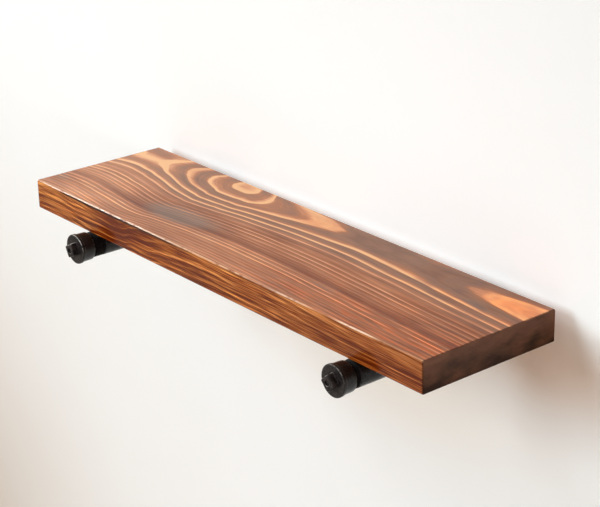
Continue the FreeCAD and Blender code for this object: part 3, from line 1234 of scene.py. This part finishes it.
@dataclass(frozen=True)
class RoomPaint:
    """Matt pale paint on a wall or floor that is only seen from its front, in millimetres."""

    name: str
    colour: Colour
    shade: Colour
    roughness: float = 0.9
    gloss: float = 0.1
    mottle: Span = (0.3, 0.7)
    mottle_scale: float = 0.004
    nap_scale: float = 0.4
    nap_depth: float = 0.05
    nap_strength: float = 0.3
    # Painted shade: the wall turns darker and warmer towards a corner low down on the left.
    painted_corner_shade: Colour = srgb(196, 178, 162)
    corner: tuple[float, float] = (-1050.0, -720.0)
    corner_shade_reach: float = 520.0
    corner_shade_share: float = 0.0
    # Painted shade: warm darker tints where the shelf's shadow falls on the wall.
    painted_warm_shade: Sequence[Pool] = ()
    # To the camera alone the paint glows: evenly by its haze, and on the wall as painted light in a
    # soft pool above the board and in a strip just above the board's back edge, where it fills the
    # board's shadow.
    haze: float = 0.0
    painted_light_strength: float = 0.0
    painted_light_pool: Pool = Pool((60.0, 60.0), (420.0, 200.0))
    painted_light_from: Span = (12.0, 40.0)
    painted_gap_light: float = 0.0
    gap_light_top: Span = (31.0, 55.0)
    gap_light_end: Span = (240.0, 330.0)
    painted_light_colour: Colour = (0.88, 0.97, 1.0)

    def material(self) -> bpy.types.Material:
        """Build the finish, with painted shade: a soft darker corner low down on the left,
        and warm painted shadow tints near the shelf.

        To the camera alone, a glow of painted light makes the wall paler above the board
        and fills the board's shadow just above its back edge; a floor glows evenly by its haze.

        Returns:
            The finished material.
        """
        nodes = FinishNodes(self.name)
        place = nodes.object_place()
        shader = nodes.add("BsdfPrincipled")
        nodes.feed(shader.inputs["Base Color"], self.coat(nodes, place))
        shader.inputs["Roughness"].default_value = self.roughness
        shader.inputs["Specular IOR Level"].default_value = self.gloss
        nap = nodes.relief(
            nodes.noise(place, scale=self.nap_scale), self.nap_depth, self.nap_strength
        )
        nodes.feed(shader.inputs["Normal"], nap)
        with_painted_light = nodes.add("AddShader")
        nodes.feed(with_painted_light.inputs[0], shader.outputs[0])
        nodes.feed(with_painted_light.inputs[1], self.painted_light_and_even_glow(nodes, place))
        mix = nodes.add("MixShader")
        nodes.feed(mix.inputs[0], nodes.add("NewGeometry").outputs["Backfacing"])
        nodes.feed(mix.inputs[1], with_painted_light.outputs[0])
        nodes.feed(mix.inputs[2], nodes.add("BsdfTransparent").outputs[0])
        nodes.show(mix.outputs[0])
        return nodes.material

    def coat(self, nodes: FinishNodes, place: Socket) -> Socket:
        """Colour the paint, with painted shade in its low left corner and warm painted shadow tints
        near the shelf.

        Args:
            nodes: The finish being built.
            place: The point on the wall in millimetres.

        Returns:
            Its colour.
        """
        mottle = nodes.noise(place, scale=self.mottle_scale, detail=3.0)
        colour = nodes.ramp(mottle, ((self.mottle[0], self.shade), (self.mottle[1], self.colour)))
        # Painted shade towards the low left corner.
        away = nodes.add("VectorMath", operation="DISTANCE")
        nodes.feed(away.inputs[0], place)
        away.inputs[1].default_value = (self.corner[0], 0.0, self.corner[1])
        corner_shade = nodes.bell(away.outputs["Value"], self.corner_shade_reach)
        colour = nodes.blend(nodes.product(corner_shade, self.corner_shade_share), colour, self.painted_corner_shade)
        # Painted shade: tint the paint warmer and darker in the shelf's shadow.
        for shade_tint in self.painted_warm_shade:
            colour = nodes.blend(shade_tint.share(nodes, place), colour, shade_tint.colour, "MULTIPLY")
        return colour

    def painted_light_and_even_glow(self, nodes: FinishNodes, place: Socket) -> Socket:
        """Return the glow, to the camera alone: painted light above the board that fills its shadow
        on the wall, and the even haze.

        Args:
            nodes: The finish being built.
            place: The point on the wall in millimetres.

        Returns:
            The shader.
        """
        x, _, z = nodes.parts(place)
        # Painted light: a soft pool above the board and a strip just above its back edge that fills
        # the board's shadow on the wall.
        wide = nodes.product(self.painted_light_pool.share(nodes, place), self.painted_light_strength)
        low = nodes.rest(nodes.fade(z, *self.gap_light_top))
        inside = nodes.rest(nodes.fade(nodes.math("ABSOLUTE", x), *self.gap_light_end))
        gap_light = nodes.product(low, inside, self.painted_gap_light)
        above = nodes.fade(z, *self.painted_light_from)
        rise = nodes.math("MULTIPLY_ADD", nodes.math("ADD", wide, gap_light), above, self.haze)
        glow = nodes.add("Emission")
        glow.inputs["Color"].default_value = (*self.painted_light_colour, 1.0)
        seen = nodes.add("LightPath").outputs["Is Camera Ray"]
        nodes.feed(glow.inputs["Strength"], nodes.product(rise, seen))
        return glow.outputs[0]


class MeshMaker:
    """Turns rows of points into one smooth mesh object."""

    def __init__(self, name: str) -> None:
        """Start an empty piece.

        Args:
            name: The piece's name.
        """
        self.name = name
        self.points: list[np.ndarray] = []
        self.faces: list[tuple[int, ...]] = []
        self.count = 0

    def ring(self, points: np.ndarray) -> range:
        """Add one closed row of points.

        Args:
            points: The points in metres.

        Returns:
            Their numbers.
        """
        self.points.append(points)
        numbers = range(self.count, self.count + len(points))
        self.count += len(points)
        return numbers

    def skin(self, rings: Sequence[np.ndarray], closed: bool = False) -> None:
        """Join rows of points of the same length with faces.

        Args:
            rings: The rows in order.
            closed: Whether the last row is joined back to the first.
        """
        rows = [self.ring(points) for points in rings]
        pairs = list(zip(rows, rows[1:]))
        if closed:
            pairs.append((rows[-1], rows[0]))
        for first, second in pairs:
            size = len(first)
            for here in range(size):
                following = (here + 1) % size
                self.faces.append((first[here], first[following], second[following], second[here]))

    def build(self, sharp_angle: float = 40.0) -> bpy.types.Object:
        """Make the object.

        Args:
            sharp_angle: Edges that turn by more degrees than this stay crisp.

        Returns:
            The new object, linked to the scene.
        """
        mesh = bpy.data.meshes.new(self.name)
        mesh.from_pydata(np.concatenate(self.points).tolist(), [], self.faces)
        mesh.validate()
        mesh.update()
        mesh.shade_smooth()
        mesh.set_sharp_from_angle(angle=math.radians(sharp_angle))
        piece = bpy.data.objects.new(self.name, mesh)
        bpy.context.scene.collection.objects.link(piece)
        return piece


def dress(piece: bpy.types.Object, material: bpy.types.Material) -> None:
    """Give a piece one material in place of whatever it had."""
    piece.data.materials.clear()
    piece.data.materials.append(material)


def dress_part(
    piece: bpy.types.Object, material: bpy.types.Material, chosen: Callable[[Vector], bool]
) -> None:
    """Give some of a piece's faces a second material.

    Args:
        piece: The piece, dressed already.
        material: The second material.
        chosen: Says from the middle of a face whether it takes it.
    """
    piece.data.materials.append(material)
    for face in piece.data.polygons:
        if chosen(face.center / MM):
            face.material_index = 1


def mount(piece: bpy.types.Object, node: str) -> None:
    """Hang a new piece on the shelf in place of a CAD node.

    Args:
        piece: The new piece, in place.
        node: The CAD node that it stands for.
    """
    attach(piece, "root")
    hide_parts(node)
    log.info("made %s for %s with %d faces", piece.name, node, len(piece.data.polygons))


def circle(sides: int, offset: float, place: float, radius: Radius) -> np.ndarray:
    """Lay points around a pipe's axis.

    Args:
        sides: How many points.
        offset: Where the axis stands along the shelf.
        place: Where the circle is along the axis.
        radius: One radius, or one for each point.

    Returns:
        The points in metres.
    """
    angles = np.arange(sides) / sides * math.tau
    radii = np.broadcast_to(radius, angles.shape)
    columns = (offset + radii * np.sin(angles), np.full_like(angles, place), radii * np.cos(angles))
    return MM * np.stack(columns, axis=1)


@dataclass
class Board:
    """The thick board of scorched pine."""

    finish: ScorchedPine = field(default_factory=ScorchedPine)

    def build(self, nodes: dict[str, bpy.types.Object]) -> None:
        """Dress the board.

        Args:
            nodes: The CAD nodes by name.
        """
        low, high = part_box("shelf_board")
        dress(nodes["shelf_board"], self.finish.material(low, high))
        log.info("dressed shelf_board")


@dataclass
class PipeArm:
    """A pipe with a cut thread behind its cap and in front of its flange, in millimetres."""

    side: Side
    offset: float
    front: float
    cap_rear: float
    front_run: float
    rear_run: float = 5.0
    hub_front: float = -15.0
    rear: float = -1.0
    radius: float = 13.45
    bore: float = 10.85
    hidden_radius: float = 12.6
    chamfer: float = 0.5
    shoulder: float = 0.2
    crest: float = 13.25
    root: float = 12.25
    pitch: float = 1.814
    flat_share: float = 0.14
    runout: float = 2.6
    sides: int = 96
    rows_per_turn: int = 10

    def row(self, place: float, radius: Radius) -> np.ndarray:
        """Return the points around the pipe at one place along it."""
        return circle(self.sides, self.offset, place, radius)

    def thread_rows(self, start: float, end: float, fade_at_end: bool) -> list[np.ndarray]:
        """Cut one stretch of thread.

        Args:
            start: Where it starts along the pipe.
            end: Where it ends.
            fade_at_end: Whether it runs out at its end and not at its start.

        Returns:
            The rows of points.
        """
        count = max(2, round((end - start) / self.pitch * self.rows_per_turn))
        turns = np.arange(self.sides) / self.sides
        rows = []
        for place in np.linspace(start, end, count + 1):
            left = (end - place) if fade_at_end else (place - start)
            cut = min(1.0, left / self.runout)
            share = (place / self.pitch + turns) % 1.0
            rise = 1 - np.abs(2 * share - 1)
            tooth = np.clip((rise - self.flat_share) / (1 - 2 * self.flat_share), 0, 1)
            cut_radius = self.root + (self.crest - self.root) * tooth
            rows.append(self.row(place, self.radius + (cut_radius - self.radius) * cut))
        return rows

    def threaded(self, middle: Vector) -> bool:
        """Say whether a face of the arm lies on a stretch of thread.

        Args:
            middle: The middle of the face in millimetres.

        Returns:
            Whether it does.
        """
        half_runout = self.runout / 2
        at_front = self.cap_rear < middle.y < self.cap_rear + self.front_run - half_runout
        at_rear = self.hub_front - self.rear_run + half_runout < middle.y < self.hub_front
        return at_front or at_rear

    def build(self, finish: bpy.types.Material, thread: bpy.types.Material) -> None:
        """Make the arm in place of its CAD node.

        Args:
            finish: The finish of the pipe.
            thread: The finish of its cut threads.
        """
        outside = [
            self.row(self.front, self.hidden_radius - self.chamfer),
            self.row(self.front + self.chamfer, self.hidden_radius),
            self.row(self.cap_rear - self.shoulder, self.hidden_radius),
            *self.thread_rows(self.cap_rear, self.cap_rear + self.front_run, True),
            *self.thread_rows(self.hub_front - self.rear_run, self.hub_front, False),
            self.row(self.hub_front + self.shoulder, self.hidden_radius),
            self.row(self.rear, self.hidden_radius),
        ]
        inside = [self.row(self.rear, self.bore), self.row(self.front, self.bore)]
        maker = MeshMaker(f"{self.side.value}_threaded_arm")
        maker.skin([*outside, *inside], closed=True)
        piece = maker.build()
        dress(piece, finish)
        dress_part(piece, thread, self.threaded)
        mount(piece, f"{self.side.value}_pipe_arm")


@dataclass
class EndCap:
    """A cast cap with a rim bead, a skirt and a square head, in millimetres."""

    side: Side
    offset: float
    face_place: float
    head_turn: float
    head_half: float = 6.2
    head_height: float = 6.5
    head_corner: float = 1.3
    head_round: float = 0.75
    fillet: float = 0.9
    recess: float = 2.9
    recess_flare: float = 0.35
    recess_depth: float = 1.4
    disc_inset: float = 1.6
    rim_round: float = 0.75
    bead: float = 15.6
    bead_width: float = 3.7
    bead_round: float = 0.55
    skirt: float = 14.9
    skirt_rear: float = 14.6
    skirt_round: float = 0.6
    length: float = 15.5
    wall: float = 4.0
    bore: float = 12.72
    mouth_chamfer: float = 0.3
    bore_corner: float = 0.4
    pinhole: float = 0.02
    sides: int = 128

    def square(self, half: float, corner: float) -> np.ndarray:
        """Return the radii of a square with rounded corners, turned as the head is.

        Args:
            half: Half of its side.
            corner: Radius of its corners.

        Returns:
            One radius for each side of the mesh.
        """
        angles = np.arange(self.sides) / self.sides * math.tau + math.radians(self.head_turn)
        folded = np.abs((angles + math.pi / 4) % (math.pi / 2) - math.pi / 4)
        flat = half / np.cos(folded)
        middle = half - corner
        reach = middle * (np.cos(folded) + np.sin(folded))
        inner = np.maximum(reach**2 - 2 * middle**2 + corner**2, 0)
        rounded = reach + np.sqrt(inner)
        in_corner = flat * np.sin(folded) > middle
        return np.where(in_corner, rounded, flat)

    def loop(self, radius: Radius, forward: float) -> np.ndarray:
        """Return the points of one loop, that far in front of the cap's face."""
        return circle(self.sides, self.offset, self.face_place - forward, radius)

    def head_loops(self) -> list[np.ndarray]:
        """Shape the head.

        Returns:
            The loops from the middle of the recess over the head down to the disc.
        """
        top, half, corner = self.head_height, self.head_half, self.head_corner
        floor, flared = top - self.recess_depth, self.recess + self.recess_flare
        rows = [
            self.loop(radius, floor) for radius in (self.pinhole, 0.9, 1.8, self.recess - 0.5)
        ]
        rows += [
            self.loop(self.recess - 0.12, floor + 0.12),
            self.loop(self.recess, floor + 0.5),
            self.loop(self.recess, top - self.recess_flare),
            self.loop(self.recess + 0.1, top - 0.1),
            self.loop(flared, top),
        ]
        flat_end = self.square(half - self.head_round, corner)
        rows += [self.loop(flared + (flat_end - flared) * share, top) for share in (0.35, 0.7)]
        for sine, cosine in quarter_turn(IN_FOUR):
            inset, drop = self.head_round * (1 - sine), self.head_round * (1 - cosine)
            rows.append(self.loop(self.square(half - inset, corner), top - drop))
        rows += [self.loop(self.square(half, corner), share * top) for share in (0.6, 0.3)]
        for sine, cosine in quarter_turn(IN_THREE):
            grow, rise = self.fillet * (1 - cosine), self.fillet * (1 - sine)
            rows.append(self.loop(self.square(half + grow, corner + grow), rise))
        return rows

    def rim_loops(self) -> list[np.ndarray]:
        """Shape the disc and the bead around it.

        Returns:
            The loops from the foot of the head over the rim to the bead's rear.
        """
        start = self.square(self.head_half + self.fillet, self.head_corner + self.fillet)
        disc = self.bead - self.disc_inset
        rows = [self.loop(start + (disc - start) * share, 0.0) for share in (0.4, 0.8)]
        rows.append(self.loop(disc, 0.0))
        rim, edge = self.rim_round, self.bead_round
        for sine, cosine in quarter_turn(IN_FIVE):
            rows.append(self.loop(self.bead - rim + rim * sine, -rim + rim * cosine))
        for sine, cosine in quarter_turn(IN_THREE):
            radius = self.bead - edge + edge * cosine
            rows.append(self.loop(radius, -self.bead_width + edge - edge * sine))
        return rows

    def skirt_loops(self) -> list[np.ndarray]:
        """Shape the skirt and the bore.

        Returns:
            The loops from the bead's rear over the skirt to the bottom of the bore.
        """
        rear, corner = self.skirt_round, self.bore_corner
        rows = [
            self.loop(self.skirt + 0.04, -self.bead_width - 0.12),
            self.loop(self.skirt, -self.bead_width - 0.5),
            self.loop((self.skirt + self.skirt_rear) / 2, -(self.bead_width + self.length) / 2),
        ]
        for sine, cosine in quarter_turn(IN_TWO):
            radius = self.skirt_rear - rear + rear * cosine
            rows.append(self.loop(radius, -self.length + rear - rear * sine))
        rows += [
            self.loop(self.bore + self.mouth_chamfer, -self.length),
            self.loop(self.bore, -self.length + self.mouth_chamfer),
            self.loop(self.bore, -self.wall - corner),
            self.loop(self.bore - corner, -self.wall),
        ]
        rows += [self.loop(radius, -self.wall) for radius in (6.0, self.pinhole)]
        return rows

    def in_front(self, middle: Vector) -> bool:
        """Say whether a face of the cap lies on its disc or its head.

        Args:
            middle: The middle of the face in millimetres.

        Returns:
            Whether it does.
        """
        reach = math.hypot(middle.x - self.offset, middle.z)
        return middle.y < self.face_place + 0.01 and reach < self.bead - self.disc_inset + 0.05

    def build(self, finish: bpy.types.Material, front: bpy.types.Material) -> None:
        """Make the cap in place of its CAD node.

        Args:
            finish: The finish of the casting.
            front: The finish of its disc and its head.
        """
        maker = MeshMaker(f"{self.side.value}_square_head_cap")
        maker.skin([*self.head_loops(), *self.rim_loops(), *self.skirt_loops()])
        piece = maker.build(sharp_angle=50.0)
        dress(piece, finish)
        dress_part(piece, front, self.in_front)
        mount(piece, f"{self.side.value}_end_cap")


@dataclass
class Fixings:
    """The wall flanges, the pipe straps and their screws."""

    def build(self, nodes: dict[str, bpy.types.Object]) -> None:
        """Dress them.

        Args:
            nodes: The CAD nodes by name.
        """
        casting, strap, screw = CAST_IRON.material(), STRAP_STEEL.material(), ZincSteel().material()
        for side in Side:
            self.dress_node(nodes, f"{side.value}_wall_flange", casting)
            for row in Row:
                name = f"{side.value}_{row.value}_strap"
                self.dress_node(nodes, name, strap)
                for end in End:
                    self.dress_node(nodes, f"{name}_{end.value}_screw", screw)

    @staticmethod
    def dress_node(
        nodes: dict[str, bpy.types.Object], name: str, finish: bpy.types.Material
    ) -> None:
        """Give one CAD node its finish."""
        dress(nodes[name], finish)
        log.info("dressed %s", name)


@dataclass
class Room:
    """The pale wall and floor that the shelf is shown in, in metres."""

    half_width: float = 6.0
    floor_height: float = -1.0
    ceiling_height: float = 4.0
    wall_place: float = 0.0006
    depth: float = 8.0
    # The wall has painted shade near the shelf and, to the camera, painted light above the board.
    wall_paint: RoomPaint = RoomPaint(
        "wall_paint", srgb(251, 249, 248), srgb(249, 247, 245), corner_shade_share=1.0, painted_light_strength=0.17,
        painted_gap_light=0.24,
        # Painted warm shade right of and under the board, in its shadow.
        painted_warm_shade=(
            Pool((270, -18), (120, 40), (0.95, 0.83, 0.75)),
            Pool((60, -100), (200, 70), (0.93, 0.86, 0.78)),
        ),
    )
    floor_paint: RoomPaint = RoomPaint(
        "floor_paint", srgb(222, 214, 204), srgb(216, 208, 198), haze=0.36,
    )

    def build(self) -> None:
        """Make the wall and the floor."""
        foot = (self.wall_place, self.floor_height)
        head = (self.wall_place, self.ceiling_height)
        wall = self.sheet("room_wall", foot, head, self.wall_paint)
        floor = self.sheet("room_floor", (-self.depth, self.floor_height), foot, self.floor_paint)
        log.info("made the room")

    def sheet(
        self, name: str, near: tuple[float, float], far: tuple[float, float], paint: RoomPaint
    ) -> bpy.types.Object:
        """Make one flat sheet as wide as the room.

        Args:
            name: The object's name.
            near: Depth and height of its first edge.
            far: Depth and height of the opposite edge.
            paint: Its finish.

        Returns:
            The new object.
        """
        wide = self.half_width
        corners = [(-wide, *near), (wide, *near), (wide, *far), (-wide, *far)]
        mesh = bpy.data.meshes.new(name)
        mesh.from_pydata(corners, [], [(0, 1, 2, 3)])
        piece = bpy.data.objects.new(name, mesh)
        bpy.context.scene.collection.objects.link(piece)
        dress(piece, paint.material())
        return piece


@dataclass
class Lamp:
    """A soft lamp: its place and size in metres, and its power in watts."""

    name: str
    place: Place
    size: tuple[float, float]
    power: float
    colour: Colour
    aim: Place = (0.0, -0.05, 0.0)

    def build(self) -> None:
        """Hang the lamp."""
        data = bpy.data.lights.new(self.name, "AREA")
        data.shape = "RECTANGLE"
        data.size, data.size_y = self.size
        data.energy = self.power
        data.color = self.colour
        lamp = bpy.data.objects.new(self.name, data)
        lamp.visible_camera = False
        bpy.context.scene.collection.objects.link(lamp)
        direction = Vector(self.aim) - Vector(self.place)
        lamp.rotation_mode = "QUATERNION"
        lamp.rotation_quaternion = direction.to_track_quat("-Z", "Y")
        lamp.location = self.place


@dataclass
class Studio:
    """The camera and the lights, in metres, with the lens and its sensor in millimetres."""

    camera_place: Place = (1.26459, -1.08857, 0.68292)
    camera_right: Place = (0.63602, 0.77144, -0.01884)
    camera_up: Place = (-0.27940, 0.25298, 0.92625)
    lens: float = 107.199
    sensor: float = 36.0
    lamps: Sequence[Lamp] = (
        Lamp("window", (-1.21, -4.02, 1.61), (1.35, 2.1), 125.0, (0.72, 0.90, 1.0)),
        Lamp("side_lamp", (-2.587, -1.214, 1.535), (0.16, 0.5), 16.0, (1.0, 0.97, 0.93)),
    )
    fill_colour: Colour = (0.48, 0.37, 0.30)
    backdrop_colour: Colour = srgb(250, 247, 243)

    def build(self) -> None:
        """Set up the camera, the lamps and the world."""
        self.camera()
        for lamp in self.lamps:
            lamp.build()
        self.world()
        bpy.context.scene.view_settings.view_transform = "Standard"
        log.info("set up the camera and the lights")

    def camera(self) -> None:
        """Put the camera where the photograph was taken from."""
        data = bpy.data.cameras.new("camera")
        data.lens = self.lens
        data.sensor_width = self.sensor
        data.sensor_fit = "HORIZONTAL"
        camera = bpy.data.objects.new("camera", data)
        bpy.context.scene.collection.objects.link(camera)
        right = Vector(self.camera_right).normalized()
        back = right.cross(Vector(self.camera_up)).normalized()
        turn = Matrix((right, back.cross(right), back)).transposed()
        camera.matrix_world = Matrix.Translation(self.camera_place) @ turn.to_4x4()
        bpy.context.scene.camera = camera

    def world(self) -> None:
        """Make the world: it lights softly, and cameras and reflections see it pale."""
        world = bpy.data.worlds.new("pale_room")
        world.use_nodes = True
        tree = world.node_tree
        tree.nodes.clear()
        path = tree.nodes.new("ShaderNodeLightPath")
        seen = tree.nodes.new("ShaderNodeMath")
        seen.operation = "MAXIMUM"
        for index, ray in enumerate(("Is Camera Ray", "Is Glossy Ray")):
            tree.links.new(path.outputs[ray], seen.inputs[index])
        mix = tree.nodes.new("ShaderNodeMixShader")
        tree.links.new(seen.outputs[0], mix.inputs[0])
        for index, colour in enumerate((self.fill_colour, self.backdrop_colour), start=1):
            sky = tree.nodes.new("ShaderNodeBackground")
            sky.inputs["Color"].default_value = (*colour, 1.0)
            sky.inputs["Strength"].default_value = 1.0
            tree.links.new(sky.outputs[0], mix.inputs[index])
        out = tree.nodes.new("ShaderNodeOutputWorld")
        tree.links.new(mix.outputs[0], out.inputs["Surface"])
        bpy.context.scene.world = world


def main() -> None:
    """Build the shelf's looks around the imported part, piece by piece."""
    logging.basicConfig(level=logging.INFO, format="%(name)s: %(message)s")
    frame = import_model()
    nodes = frame["nodes"]
    Board().build(nodes)
    pipe_iron, cut_thread = PIPE_IRON.material(), CUT_THREAD.material()
    cast_iron, cast_face = CAST_IRON.material(), CAST_FACE.material()
    arms = (
        PipeArm(Side.LEFT, -204.5, -188.7, -178.4, 15.5),
        PipeArm(Side.RIGHT, 204.5, -189.5, -179.2, 7.2),
    )
    for arm in arms:
        arm.build(pipe_iron, cut_thread)
    for cap in (EndCap(Side.LEFT, -204.5, -193.9, 26.0), EndCap(Side.RIGHT, 204.5, -194.7, 42.0)):
        cap.build(cast_iron, cast_face)
    Fixings().build(nodes)
    Room().build()
    Studio().build()


if __name__ == "__main__":
    main()
